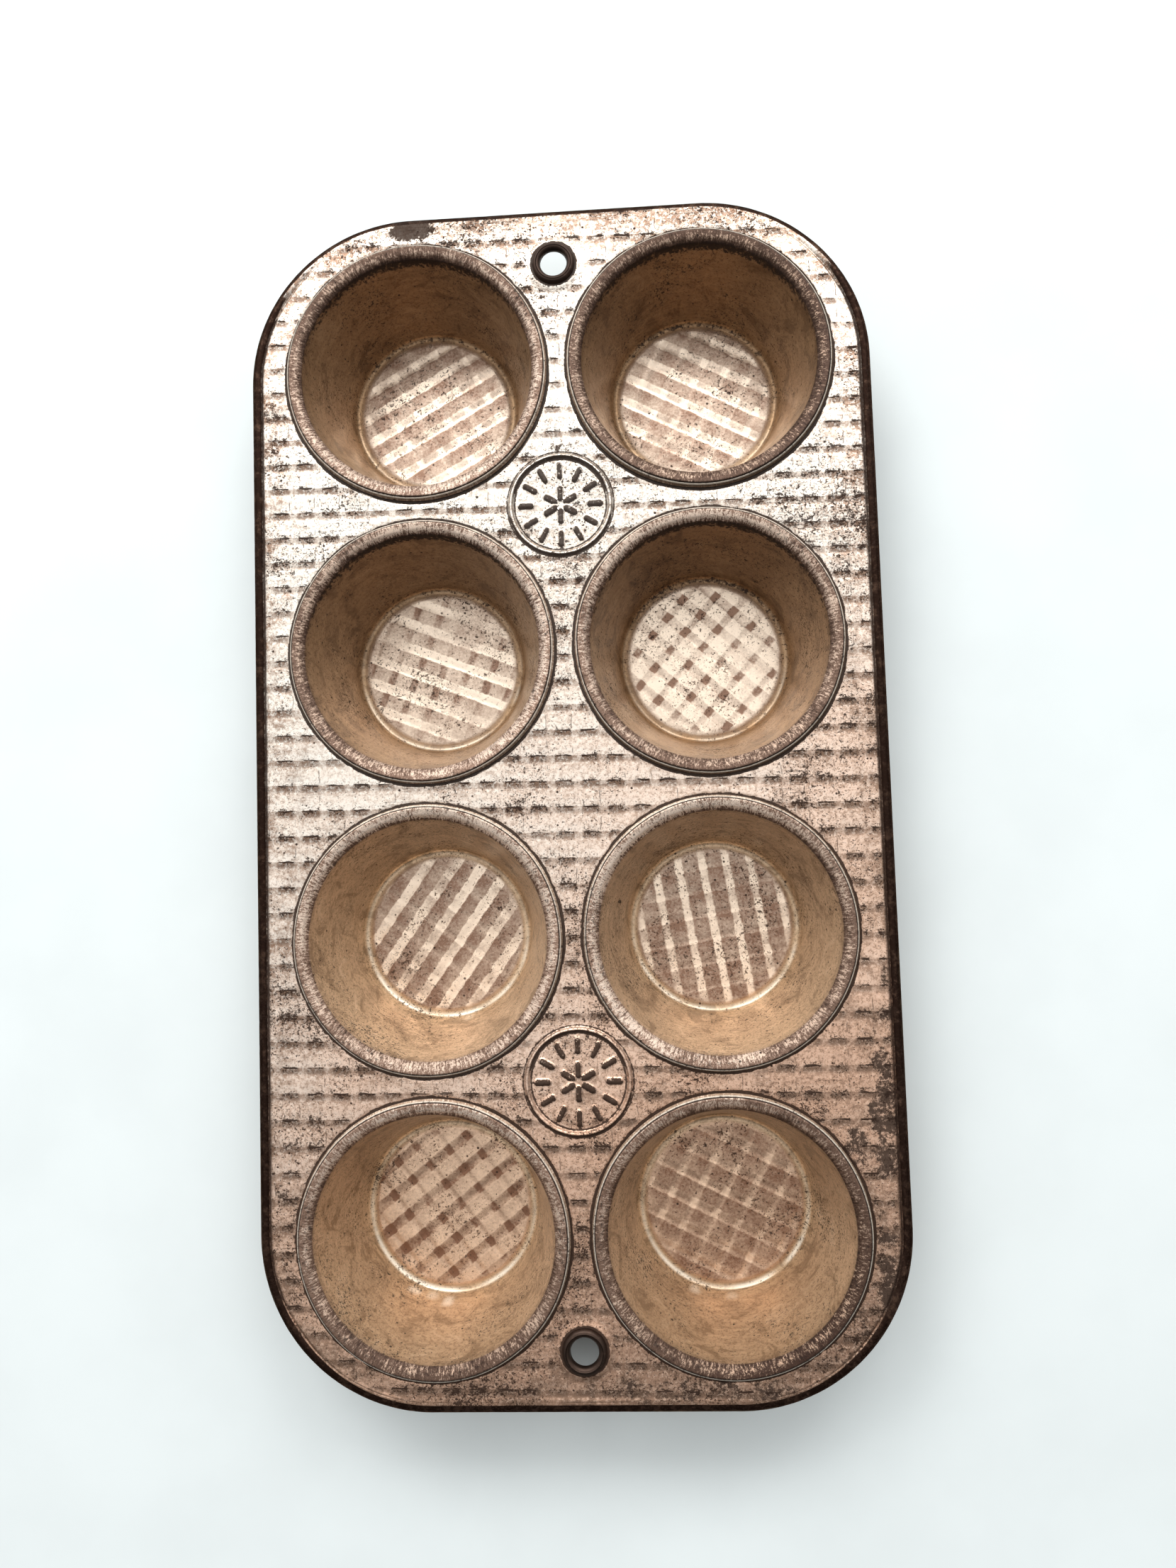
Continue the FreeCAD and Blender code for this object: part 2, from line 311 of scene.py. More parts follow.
class Nodes:
    """Shorthand for filling a node tree."""

    def __init__(self, tree):
        self.tree = tree

    def node(self, kind, inputs, **settings):
        """The outputs of a new node whose inputs are fed with numbers, colours or other outputs."""
        made = self.tree.nodes.new(kind)
        for key, value in settings.items():
            setattr(made, key, value)
        for key, value in inputs.items():
            self.feed(made.inputs[key], value)
        return made.outputs

    def feed(self, socket, value):
        if isinstance(value, bpy.types.NodeSocket):
            self.tree.links.new(value, socket)
        elif isinstance(value, tuple) and len(value) == 3 and len(socket.default_value) == 4:
            socket.default_value = (*value, 1)
        else:
            socket.default_value = value


class Shade(Nodes):
    """One material and its patterns, which are in millimetres."""

    def __init__(self, name):
        self.material = bpy.data.materials.new(name)
        self.material.use_nodes = True
        super().__init__(self.material.node_tree)
        metres = self.node("ShaderNodeTexCoord", {})["Object"]
        to_mm = self.node("ShaderNodeVectorMath", {0: metres, "Scale": 1 / MM}, operation="SCALE")
        self.place = to_mm["Vector"]

    def use(self, name, value):
        """Feeds one input of the shader."""
        self.feed(self.tree.nodes["Principled BSDF"].inputs[name], value)

    def math(self, operation, *values):
        return self.node("ShaderNodeMath", dict(enumerate(values)), operation=operation)[0]

    def fold(self, operation, values):
        return reduce(lambda so_far, value: self.math(operation, so_far, value), values)

    def total(self, *values):
        return self.fold("ADD", values)

    def product(self, *values):
        return self.fold("MULTIPLY", values)

    def largest(self, *values):
        return self.fold("MAXIMUM", values)

    def scaled(self, value, gain, offset):
        return self.math("MULTIPLY_ADD", value, gain, offset)

    def swing(self, value, width):
        """A pattern between 0 and 1, made as wide as given and centred on zero."""
        return self.scaled(value, width, -width / 2)

    def attribute(self, name, output="Fac"):
        return self.node("ShaderNodeAttribute", {}, attribute_name=name)[output]

    def split(self, vector):
        return self.node("ShaderNodeSeparateXYZ", {0: vector})

    def parts(self, name):
        """The three numbers of a vector attribute."""
        return self.split(self.attribute(name, "Vector"))

    def noise(self, size, detail=3, roughness=0.55, distortion=0.0, at=None):
        """Noise whose largest features are about size millimetres across, from 0 to 1."""
        return self.node("ShaderNodeTexNoise", {
            "Vector": at or self.place, "Scale": 1 / size, "Detail": detail,
            "Roughness": roughness, "Distortion": distortion})["Fac"]

    def dots(self, spacing):
        """Distance from scattered points, as a share of their spacing, and each point's own colour."""
        made = self.node("ShaderNodeTexVoronoi", {"Vector": self.place, "Scale": 1 / spacing})
        return made["Distance"], made["Color"]

    def rise(self, value, low, high):
        """0 below low and 1 above high, smoothly. low may be the higher one."""
        return self.node("ShaderNodeMapRange", {
            "Value": value, "From Min": min(low, high), "From Max": max(low, high),
            "To Min": float(low > high), "To Max": float(low < high),
        }, interpolation_type="SMOOTHSTEP")["Result"]

    def mix(self, factor, first, second, blend="MIX"):
        return self.node("ShaderNodeMix", {"Factor": factor, COLOUR_A: first, COLOUR_B: second},
                         data_type="RGBA", blend_type=blend)[COLOUR_RESULT]

    def bump(self, height):
        """Uses a height in millimetres as fine relief."""
        bumped = self.node("ShaderNodeBump", {"Strength": 1, "Distance": MM, "Height": height})
        self.use("Normal", bumped["Normal"])


def band_masks(shade):
    """How near each spot is to the waffle's columns and rows, and the texture's strength there."""
    u, v, strength = shade.parts("waffle")
    wobble = shade.swing(shade.noise(2.2), 1.1)
    to_column = shade.math("PINGPONG", shade.total(u, wobble), HALF_PITCH)
    to_row = shade.math("PINGPONG", shade.total(v, wobble), HALF_PITCH)
    return shade.rise(to_column, 1.5, 0.7), shade.rise(to_row, 1.75, 1.25), strength


def dashes(shade):
    """Grime and painted shade along the +V edge of each row between columns, and faintly beside columns."""
    u, v, strength = shade.parts("waffle")
    ragged = shade.total(shade.swing(shade.noise(3.2, detail=5), 1.1),
                         shade.swing(shade.noise(0.6), 0.4))
    above = shade.math("PINGPONG", shade.total(v, ragged, -1.05), HALF_PITCH)
    beside = shade.math("PINGPONG", shade.total(u, ragged, 1.0), HALF_PITCH)
    to_column = shade.math("PINGPONG", u, HALF_PITCH)
    to_row = shade.math("PINGPONG", v, HALF_PITCH)
    heavy = shade.rise(shade.noise(9.0, detail=1), 0.30, 0.50)
    width = shade.scaled(shade.noise(2.6, detail=2), 0.60, -0.08)
    line = shade.rise(shade.math("SUBTRACT", above, width), 0.07, -0.05)
    rows = shade.product(line, shade.rise(shade.total(to_column, ragged), 1.2, 1.7), heavy)
    rare = shade.rise(shade.noise(6.0, detail=1), 0.50, 0.60)
    columns = shade.product(shade.rise(beside, 0.22, 0.05), shade.rise(to_row, 1.3, 2.1), rare, 0.7)
    near_row = shade.product(shade.rise(above, 1.6, 0.3), shade.rise(to_column, 0.8, 1.8))
    return shade.product(shade.largest(rows, columns), strength), shade.product(near_row, strength)


def flecks(shade, share, closeness=0.0):
    """Small ragged black flecks, thicker in some areas and where closeness is high."""
    area = shade.noise(20.0, detail=4, roughness=0.6)
    threshold = shade.scaled(area, -0.34, 0.93 - share * 0.22)
    threshold = shade.math("SUBTRACT", threshold, shade.product(closeness, 0.06))
    coarse = shade.noise(1.1, detail=5, roughness=0.8)
    fine = shade.noise(0.55, detail=3, roughness=0.75)
    large = shade.rise(shade.math("SUBTRACT", coarse, threshold), 0.0, 0.03)
    small = shade.rise(shade.math("SUBTRACT", fine, shade.total(threshold, 0.02)), 0.0, 0.03)
    distance, tint = shade.dots(3.0)
    size = shade.scaled(shade.split(tint)[0], 0.17, -0.065 + share * 0.02)
    specks = shade.rise(shade.math("SUBTRACT", distance, size), 0.03, -0.01)
    return shade.largest(large, small, specks)


def scratches(shade, *runs):
    """Sparse fine straight scratches: the heading in degrees and the patches' size of each run."""
    every = []
    for heading, size in runs:
        along = shade.node("ShaderNodeMapping", {
            "Vector": shade.place, "Rotation": (0, 0, math.radians(heading)), "Scale": (0.05, 1.3, 1.0)})
        lines = shade.noise(1.0, detail=2, distortion=0.3, at=along["Vector"])
        thin = shade.rise(shade.math("ABSOLUTE", shade.math("SUBTRACT", lines, 0.5)), 0.010, 0.002)
        every.append(shade.product(thin, shade.rise(shade.noise(size, detail=2), 0.53, 0.66)))
    return shade.largest(*every)


def caked(shade):
    """Ragged edge of the grime and painted shade that the mesh marks."""
    ragged = shade.swing(shade.noise(1.1, detail=4, roughness=0.7), 1.1)
    return shade.rise(shade.total(shade.attribute("grime"), ragged), 0.40, 0.58)


def aged_tin(shade, mottle, worn):
    """The frame's colour, browner with age towards -Y and +X and with painted shade at the +Y end, and its
    ageing and highlights.
    """
    x, y, _ = shade.split(shade.place)
    lean = shade.total(shade.product(y, -1.0), shade.product(x, 0.55), shade.product(worn, 130.0))
    margin = shade.attribute("margin")
    aged = shade.largest(shade.rise(lean, -20.0, 200.0), shade.product(margin, 0.6))
    colour = shade.mix(shade.rise(lean, -40.0, 215.0), CREAM, TAN)
    colour = shade.mix(shade.rise(lean, 120.0, 300.0), colour, UMBER)
    clouds = shade.product(shade.rise(mottle, 0.50, 0.66), shade.scaled(aged, 0.25, 0.25))
    clouds = shade.total(clouds, shade.product(margin, shade.rise(mottle, 0.40, 0.60), 0.65))
    colour = shade.mix(clouds, colour, BROWN)
    # Painted shade: darker at the +Y end, more so towards its +X corner
    far_end_shade = shade.rise(shade.total(y, shade.product(x, 0.12)), 148.0, 170.0)
    far_corner_shade = shade.product(far_end_shade, shade.rise(x, -15.0, 35.0))
    colour = shade.mix(far_end_shade, colour, FAR_END_SHADE, "MULTIPLY")
    colour = shade.mix(far_corner_shade, colour, FAR_CORNER_SHADE, "MULTIPLY")
    return colour, aged, shade.mix(shade.rise(lean, 0.0, 190.0), FLAKED_AND_HIGHLIGHT, FLAKED_TAN_AND_HIGHLIGHT)


def shaded_rows(shade, colour, flake_and_highlight, aged, worn, column, strength):
    """Painted shade below each row's +V edge, fading out, and a painted highlight above that edge."""
    _, v, _ = shade.parts("waffle")
    wobble = shade.swing(shade.noise(1.6, detail=4), 0.9)
    below = shade.math("WRAP", shade.math("SUBTRACT", shade.total(wobble, 1.15), v), WAFFLE_PITCH, 0.0)
    shadow = shade.product(shade.rise(below, 4.0, 0.9), shade.scaled(column, -0.50, 1.0), strength,
                           shade.scaled(shade.rise(worn, 0.35, 0.6), 0.30, 0.72))
    lit = shade.product(shade.rise(below, WAFFLE_PITCH - 3.0, WAFFLE_PITCH - 0.8), strength,
                        shade.scaled(aged, -0.45, 0.60))
    return shade.mix(lit, shade.mix(shadow, colour, ROW_SHADE), flake_and_highlight)


def frame_tinplate():
    """The frame's old tinplate: cream where clean, with stains, scratches, a dark edge and painted row shade
    and highlights.
    """
    shade = Shade("frame_tinplate")
    column, row, strength = band_masks(shade)
    mottle = shade.noise(7.0, detail=6, roughness=0.65)
    grain = shade.noise(0.9, detail=4, roughness=0.7)
    worn = shade.noise(40.0, detail=5)
    colour, aged, flake_and_highlight = aged_tin(shade, mottle, worn)
    colour = shaded_rows(shade, colour, flake_and_highlight, aged, worn, column, strength)

    speckle = shade.noise(1.2, detail=6, roughness=0.85)
    towards_far_end = shade.rise(shade.split(shade.place)[1], 40.0, 150.0)
    speckled = shade.total(shade.product(aged, 0.42), shade.product(towards_far_end, 0.30), 0.38)
    colour = shade.mix(shade.product(shade.rise(speckle, 0.51, 0.57), speckled), colour, BROWN)
    colour = shade.mix(shade.product(shade.rise(speckle, 0.49, 0.42), 0.55), colour, flake_and_highlight)

    blotched = shade.total(shade.swing(mottle, 1.5), shade.swing(speckle, 1.2))
    stained = shade.rise(shade.total(shade.attribute("blot"), blotched), 0.40, 0.54)
    colour = shade.mix(shade.product(stained, 0.95), colour, STAIN)

    streak = shade.noise(2.4, detail=5, roughness=0.7)
    edging = shade.mix(shade.rise(streak, 0.48, 0.70), EDGE_DARK, EDGE_RUBBED)
    at_edge = shade.total(shade.attribute("edge"), shade.product(mottle, 0.3))
    colour = shade.mix(shade.rise(at_edge, 0.45, 0.75), colour, edging)

    dash, near_dash = dashes(shade)
    scratch = scratches(shade, (24, 14.0), (-58, 19.0))
    # Dirt, flecks and painted shade along the rows and on the medallions' -Y flanks
    grimy_and_shaded = shade.largest(shade.product(caked(shade), 0.95), shade.product(dash, 0.95),
                          shade.product(flecks(shade, 0.80, near_dash), 0.95))
    dark = shade.largest(grimy_and_shaded, shade.product(scratch, 0.45))
    dull = shade.largest(dark, stained, shade.product(aged, 0.25))

    shade.use("Base Color", shade.mix(dark, colour, SOOT_AND_SHADE))
    shade.use("Specular IOR Level", 0.2)
    shade.use("Specular Tint", (0.60, 0.50, 0.42))
    shade.use("Metallic", shade.scaled(dull, -0.8, 0.97))
    shade.use("Roughness", shade.total(0.25, shade.product(dull, 0.30), shade.product(grain, 0.12),
                                       shade.product(row, 0.05)))
    shade.bump(shade.total(shade.product(grain, 0.03), shade.product(mottle, 0.10),
                           shade.product(dark, -0.04), shade.product(scratch, -0.015)))
    return shade.material


def cup_wall(shade, mottle, grain, lathe):
    """A cup's golden-brown wall: lathe lines, smears, rubbed patches, scratches, and darkening that is part
    browning and part painted shade.
    """
    smear = shade.noise(11.0, detail=7, roughness=0.72, distortion=1.2)
    wall = shade.mix(shade.rise(lathe, 0.30, 0.72), WALL_DARK, WALL_LIGHT)
    for pattern, low, high, share, tint in (
            (mottle, 0.56, 0.74, 0.45, WALL_MOTTLE), (grain, 0.50, 0.62, 0.60, WALL_GRAIN),
            (smear, 0.50, 0.62, 0.70, WALL_SMEAR), (smear, 0.44, 0.34, 0.50, WALL_RUBBED)):
        wall = shade.mix(shade.product(shade.rise(pattern, low, high), share), wall, tint)
    scratch = scratches(shade, (35, 12.0), (-30, 16.0), (80, 14.0))
    wall = shade.mix(shade.product(scratch, 0.6), wall, WALL_SCRATCH)
    return shade.mix(shade.attribute("browned"), wall, WALL_BROWNING_AND_SHADE, "MULTIPLY")


def cup_bottom(shade, column, row, mottle, grain):
    """A cup's striped bottom in painted highlights and shade: the mesh says how bright its columns, rows and
    tiles are.
    """
    by_column, by_row, tile = shade.parts("stripes")
    uneven = shade.scaled(shade.noise(5.0, detail=2), 1.6, 0.2)
    _, v, _ = shade.parts("waffle")
    across = shade.scaled(shade.math("WRAP", v, WAFFLE_PITCH, 0.0), 2 / WAFFLE_PITCH, -1.0)
    # Painted highlights and shade: the stripes' brightness, and shade across each tile, darker towards its +V
    # side
    level = shade.total(tile, shade.product(column, by_column, uneven), shade.product(row, by_row, uneven),
                        shade.product(column, row, shade.total(by_column, by_row), 0.9),
                        shade.swing(mottle, 1.1), shade.swing(grain, 1.0),
                        shade.product(across, shade.math("SUBTRACT", 1.0, row), -0.16))
    level = shade.math("MAXIMUM", shade.math("MINIMUM", level, 1.0), 0.0)
    reddened = shade.rise(shade.split(shade.place)[1], 0.0, -120.0)
    return shade.mix(reddened, shade.mix(level, BOTTOM_DARK, BOTTOM_LIGHT), BOTTOM_REDDENING, "MULTIPLY")


def cup_rim(shade, mottle, strokes):
    """A rim's brown, grimy band with bare metal showing through, and how bare it is."""
    radial = shade.noise(0.5, detail=3, roughness=0.7, at=shade.attribute("rim", "Vector"))
    rough = shade.total(shade.product(strokes, 0.45), shade.product(radial, 0.35),
                        shade.product(mottle, 0.20), shade.product(shade.attribute("worn"), -0.10))
    rim_grime = shade.attribute("rim_grime")
    bare = shade.rise(shade.total(rough, shade.product(shade.attribute("flaked"), 0.04),
                                  shade.product(rim_grime, -0.045)), 0.510, 0.550)
    band = shade.mix(shade.rise(rough, 0.38, 0.50), RIM_DARK, RIM_BROWN)
    band = shade.mix(rim_grime, band, RIM_GRIME_TINT, "MULTIPLY")
    bared = shade.mix(rim_grime, RIM_BARE, BARE_GRIME_TINT, "MULTIPLY")
    return shade.mix(bare, band, bared), bare


def cup_tinplate():
    """The cups' drawn tinplate: walls, lighter striped bottoms and rims in one material."""
    shade = Shade("cup_tinplate")
    column, row, on_base = band_masks(shade)
    mottle = shade.noise(6.0, detail=6, roughness=0.65)
    grain = shade.noise(0.8, detail=4, roughness=0.7)
    lathe = shade.noise(1.3, detail=6, roughness=0.75, at=shade.attribute("lathe", "Vector"))
    strokes = shade.noise(0.55, detail=5, roughness=0.85)

    colour = shade.mix(on_base, cup_wall(shade, mottle, grain, lathe),
                       cup_bottom(shade, column, row, mottle, grain))
    on_rim = shade.attribute("on_rim")
    band, bare = cup_rim(shade, mottle, strokes)
    colour = shade.mix(on_rim, colour, band)
    # Painted highlights on the foot, in the glints and on the rim's step
    colour = shade.mix(shade.product(shade.attribute("shine"), 0.8), colour, PAINTED_HIGHLIGHT_COLOUR)
    rim_specks = shade.product(shade.rise(strokes, 0.37, 0.33), on_rim)
    # Dirt, flecks, rim specks and painted shade in the rim's crease and below the lip
    grimy_and_shaded = shade.largest(shade.product(caked(shade), 0.92), shade.product(flecks(shade, 0.74), 0.88),
                          shade.product(rim_specks, 0.8))
    on_wall = shade.math("SUBTRACT", 1.0, shade.largest(on_base, on_rim))
    patina = shade.total(shade.product(on_rim, shade.scaled(bare, -0.30, 0.45)), shade.product(on_wall, 0.42))

    shade.use("Base Color", shade.mix(grimy_and_shaded, colour, SOOT_AND_SHADE))
    shade.use("Specular IOR Level", 0.3)
    shade.use("Metallic", shade.math("SUBTRACT", 0.90, shade.largest(shade.product(grimy_and_shaded, 0.75), patina)))
    shade.use("Roughness", shade.total(0.28, shade.product(grimy_and_shaded, 0.30), shade.product(mottle, 0.16),
                                       shade.product(on_rim, 0.08)))
    shade.bump(shade.total(shade.product(grain, 0.02), shade.product(mottle, 0.10),
                           shade.product(lathe, 0.012), shade.product(strokes, on_rim, 0.16),
                           shade.product(grimy_and_shaded, -0.03)))
    return shade.material


def dark_steel(name, colour, roughness):
    """Brown-black oiled steel with rubbed spots."""
    shade = Shade(name)
    mottle = shade.noise(2.2, detail=5, roughness=0.7)
    rubbed = shade.product(shade.rise(mottle, 0.56, 0.72), 0.6)
    shade.use("Base Color", shade.mix(rubbed, colour, tuple(min(1, 2.6 * c) for c in colour)))
    shade.use("Roughness", shade.scaled(mottle, 0.35, roughness - 0.15))
    shade.use("Metallic", 0.85)
    shade.bump(shade.product(mottle, 0.05))
    return shade.material


FRAME_TIN = frame_tinplate()
CUP_TIN = cup_tinplate()
EYELET_STEEL = dark_steel("eyelet_steel", EYELET_BLACK, 0.42)
WIRE_STEEL = dark_steel("wire_steel", WIRE_GREY, 0.45)


# ---------------- cups

CUP_SEGMENTS = 240
CUP_PATH = [
    (0, HALF_SHEET, 0),
    (26.0, HALF_SHEET, 2.0),
    (34.0, 33.0, 0.8),
    (35.3, 34.15, 1.4),
    (37.0, 34.6, 0.25),
    (37.15, 34.1, 0.3),
    (37.85, 34.1, 0.2),
    (36.5, PLATE_TOP + HALF_SHEET, 0.3),
    (RIM_RADIUS, PLATE_TOP + HALF_SHEET, 0),
]
BASE_FLAT_RADIUS = 24.2
BEAD_LOW = 32.9
# Where dirt, painted shade and painted highlights lie: the crease in the rim's step (r, z), and radii from
# the foot outwards
CREASE = (37.2, 34.4)
FOOT_RADIUS = 25.0
FOOT_WALL_RADIUS = 27.0
WALL_RADIUS = 31.0
LIP_RADIUS = 34.3
RIM_MIDDLE = 36
STEP_RADIUS = 37.35
# Painted highlights low on a wall: heading in degrees, height and brightness
GLINTS = {
    "cup_3_left": ((-76, 2.6, 0.5),),
    "cup_4_left": ((-116, 3.6, 1.0), (-93, 5.0, 1.0), (-104, 3.0, 0.6)),
    "cup_4_right": ((-112, 3.0, 0.7), (-88, 3.2, 0.4)),
}
# Dark scuffs on a wall: heading in degrees, height, half width, half height and strength
SCUFFS = {
    "cup_1_left": ((140, 20.0, 5.0, 8.0, 0.30),),
    "cup_1_right": ((95, 22.0, 3.0, 2.0, 0.50), (60, 24.0, 5.0, 5.0, 0.30)),
    "cup_2_left": ((190, 12.0, 3.0, 7.0, 0.28),),
    "cup_3_right": ((163, 16.0, 1.2, 5.0, 0.62),),
    "cup_4_left": ((186, 15.0, 4.0, 8.0, 0.38),),
}


def cup_profile():
    face = bent_face(CUP_PATH, 1)
    base = with_steps(face[:2], 0.62)
    wall = with_steps(face[1:], 2.2)
    return np.concatenate([base[1:], wall[1:]])


def turn_from(angles, degrees):
    """How far round each angle is from a heading, in radians."""
    return np.abs((angles - math.radians(degrees) + math.pi) % (2 * math.pi) - math.pi)


def wall_grime_and_shade(name, angles, r, z):
    """Dirt and painted shade in the rim's crease and below the lip (heaviest at +Y), and dirt round the foot
    and in the scuffs.
    """
    burnt_and_shaded = 0.75 if CUPS[name][1] > 0 else 0.45
    far_side = 0.55 + 0.45 * np.sin(angles)
    crease = 0.85 * smooth(np.hypot(r - CREASE[0], z - CREASE[1]), 0.45, 0.15)
    lip = burnt_and_shaded * far_side * smooth(np.abs(z - 32.0), 2.6, 0.4) * (r < LIP_RADIUS)
    dirty_foot = 0.50 * CUP_LOOKS[name].browned[0] * smooth(np.sin(angles), -0.2, 0.7)
    lip = np.maximum(lip, dirty_foot * smooth(np.hypot(r - FOOT_RADIUS, z - 1.0), 2.2, 0.4))
    for heading, high, wide, tall, strength in SCUFFS.get(name, ()):
        away = np.hypot(turn_from(angles, heading) * WALL_RADIUS / wide, (z - high) / tall)
        lip = np.maximum(lip, strength * smooth(away, 1.3, 0.2) * (r < 34))
    return np.maximum(crease, lip)


def wall_highlights(name, angles, r, z, patchy):
    """Painted highlights on the foot's bend, most on the -Y side, in the glints and on the rim's outer step.
    """
    foot = smooth(np.hypot(r - FOOT_RADIUS, z - 0.6), 0.9, 0.25)
    shine = foot * CUP_LOOKS[name].foot_shine * patchy * (0.15 + 0.85 * smooth(np.sin(angles), 0.2, -0.7))
    for heading, high, bright in GLINTS.get(name, ()):
        away = np.hypot(turn_from(angles, heading) * FOOT_WALL_RADIUS / 2.6, (z - high) / 2.0)
        shine = np.maximum(shine, bright * smooth(away, 1.0, 0.4) * (r < 30))
    return np.maximum(shine, 0.7 * ((r > STEP_RADIUS) & (z > 33.5)))


def make_cup(name, seed):
    look, centre = CUP_LOOKS[name], CUPS[name]
    profile = cup_profile()
    angles, x, y, z = turned_rows(profile, CUP_SEGMENTS)
    r = np.repeat(profile[:, :1], CUP_SEGMENTS, axis=1)
    draw = np.random.default_rng(seed)
    phase = draw.uniform(0, 2 * math.pi, 4)

    on_base = smooth(r, BASE_FLAT_RADIUS, BASE_FLAT_RADIUS - 1.2) * (z < 1)
    patterned = on_base * smooth(r + 1.2 * wander(x, y, seed + 20, 9.0), BASE_FLAT_RADIUS, 21.5)
    shift = draw.uniform(0, WAFFLE_PITCH, 2)
    u, v = turned_waffle(x, y, look.turn, shift)
    z = z + patterned * waffle(u, v) + on_base * (0.12 * wander(x, y, seed, 22.0) + 0.32)

    on_wall = smooth(z, 2.0, 8.0) * smooth(z, 32.0, 24.0)
    swell = on_wall * (0.10 * np.sin(3 * angles + phase[0]) + 0.06 * np.sin(5 * angles + phase[1] + z * 0.05))
    on_bead = smooth(z, BEAD_LOW - 0.3, BEAD_LOW + 0.3) * (r > 33)
    swell += on_bead * 0.05 * np.sin(7 * angles + phase[2])
    x, y = x + swell * np.cos(angles), y + swell * np.sin(angles)

    fade = patterned * (0.85 + 0.9 * wander(x, y, seed + 30, 26.0))
    stripes = np.stack([fade, fade, patterned], -1) * look.stripes
    stripes[..., 2] += min(0.55, look.stripes[2] + 0.26) * (1 - patterned)
    patchy = np.clip(0.75 + 1.6 * wander(x, y, seed + 40, 13.0), 0.0, 1.0)
    browning_and_shade, near_browning_and_shade = look.browned
    level, swing, grimiest = look.rim_grime
    middle_row = abs(centre[1]) < 60

    def round_and_up(radius, height):
        return np.stack([radius * np.cos(angles), radius * np.sin(angles), height], -1)

    # Each attribute's values on the turned rows, and its value at the bottom's centre
    marks = {
        "waffle": (np.stack([u, v, on_base], -1), (-shift[0], -shift[1], 1.0)),
        "on_rim": (on_bead, 0.0),
        "lathe": (round_and_up(5, z + seed * 50.0), np.zeros(3)),
        "stripes": (stripes, look.stripes),
        "shine": (wall_highlights(name, angles, r, z, patchy), 0.0),
        "grime": (wall_grime_and_shade(name, angles, r, z), 0.0),
        # darker walls: partly baked-on browning, partly painted shade, changed further on the -Y side
        "browned": (browning_and_shade + near_browning_and_shade * smooth(np.sin(angles), -0.1, -0.95), 0.0),
        "flaked": (smooth(r, 36.6, 35.2) + middle_row * np.maximum(0.8 * np.sin(angles), 0), 0.0),
        "worn": (smooth(r, 35.0, 34.1) * (0.5 + 0.35 * np.sin(angles)), 0.0),
        "rim": (round_and_up(RIM_MIDDLE, 0.35 * (r - RIM_MIDDLE) + seed * 9.0), np.zeros(3)),
        "rim_grime": (level + swing * np.cos(angles - math.radians(grimiest)), 0.0),
    }
    attributes = {label: np.concatenate([[middle], values.reshape(-1, *values.shape[2:])])
                  for label, (values, middle) in marks.items()}
    points = np.stack([x + centre[0], y + centre[1], z], -1).reshape(-1, 3)
    points = np.concatenate([[[*centre, points[0, 2]]], points])
    rows = np.arange(1, len(points)).reshape(-1, CUP_SEGMENTS)
    fan = np.stack([np.zeros(CUP_SEGMENTS, int), rows[0], np.roll(rows[0], -1)], 1)
    piece = make_sheet(name + "_shell", points, [fan, joined(rows, True)], attributes, CUP_TIN)
    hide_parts(name)


for number, cup_name in enumerate(CUPS):
    make_cup(cup_name, number + 1)


# ---------------- frame sheet

FINE_STEP = 0.33
EDGE_START_INSET = 4.4
MARGIN_WIDTH = 22.0
STATION_STEP = 1.0
RIM_CLEAR = 40.3             # the field's own grid starts here, outside the rings round each rim
RIM_RINGS = ((COLLAR_REACH, 180), (38.0, 300), (38.35, 300), (38.75, 300), (39.25, 300), (39.8, 300))
RING_POINTS = 280
SEAT_POINTS = 90
ORNAMENT_RADIUS = 12.7
MEDALLION_CLEAR = 16.0
BARS = 12
PETALS = 6
# Middle, reach and strength of the darkest stains
BLOTS = (
    (-42.0, 166.5, 8.0, 4.5, 0.78), (84.0, -92.0, 6.0, 26.0, 0.60), (77.0, -101.0, 8.0, 8.0, 0.50),
    (86.0, -60.0, 4.0, 16.0, 0.42), (0.0, 98.5, 7.0, 2.6, 0.50), (-84.0, -112.0, 3.0, 5.0, 0.42),
    (-78.0, -131.0, 4.0, 6.0, 0.36), (30.0, -164.0, 44.0, 5.0, 0.34), (84.0, -135.0, 6.0, 18.0, 0.52),
    (70.0, -150.0, 11.0, 11.0, 0.42), (-60.0, -160.0, 12.0, 6.0, 0.28), (-84.0, 104.0, 4.0, 26.0, 0.26),
    (-36.0, 158.0, 22.0, 6.0, 0.20), (60.0, 160.0, 24.0, 7.0, 0.22),
)

ROLL_BEND = 1.35
ROLL_CENTRE = CORNER_RADIUS - 1.65
ROLL_HEIGHT = 30.7
ROLL_SQUARE = ROLL_BEND * math.sqrt(2)
EDGE_PATH = [
    (CORNER_RADIUS - EDGE_START_INSET, PLATE_MIDDLE, 0),
    (CORNER_RADIUS - 3.8, PLATE_MIDDLE, 0.5),
    (ROLL_CENTRE - 1.5, ROLL_HEIGHT + 0.41, 0.4),
    (ROLL_CENTRE, ROLL_HEIGHT + ROLL_SQUARE, ROLL_BEND),
    (ROLL_CENTRE + ROLL_SQUARE, ROLL_HEIGHT, ROLL_BEND),
    (ROLL_CENTRE, ROLL_HEIGHT - ROLL_SQUARE, ROLL_BEND),
    (ROLL_CENTRE - ROLL_SQUARE / 2 - 0.3, ROLL_HEIGHT - ROLL_SQUARE / 2 + 0.3, 0),
]
COLLAR_PATH = [
    (COLLAR_REACH, PLATE_MIDDLE, 0),
    (34.55, PLATE_MIDDLE, 0.35),
    (34.55, 32.9, 0),
]


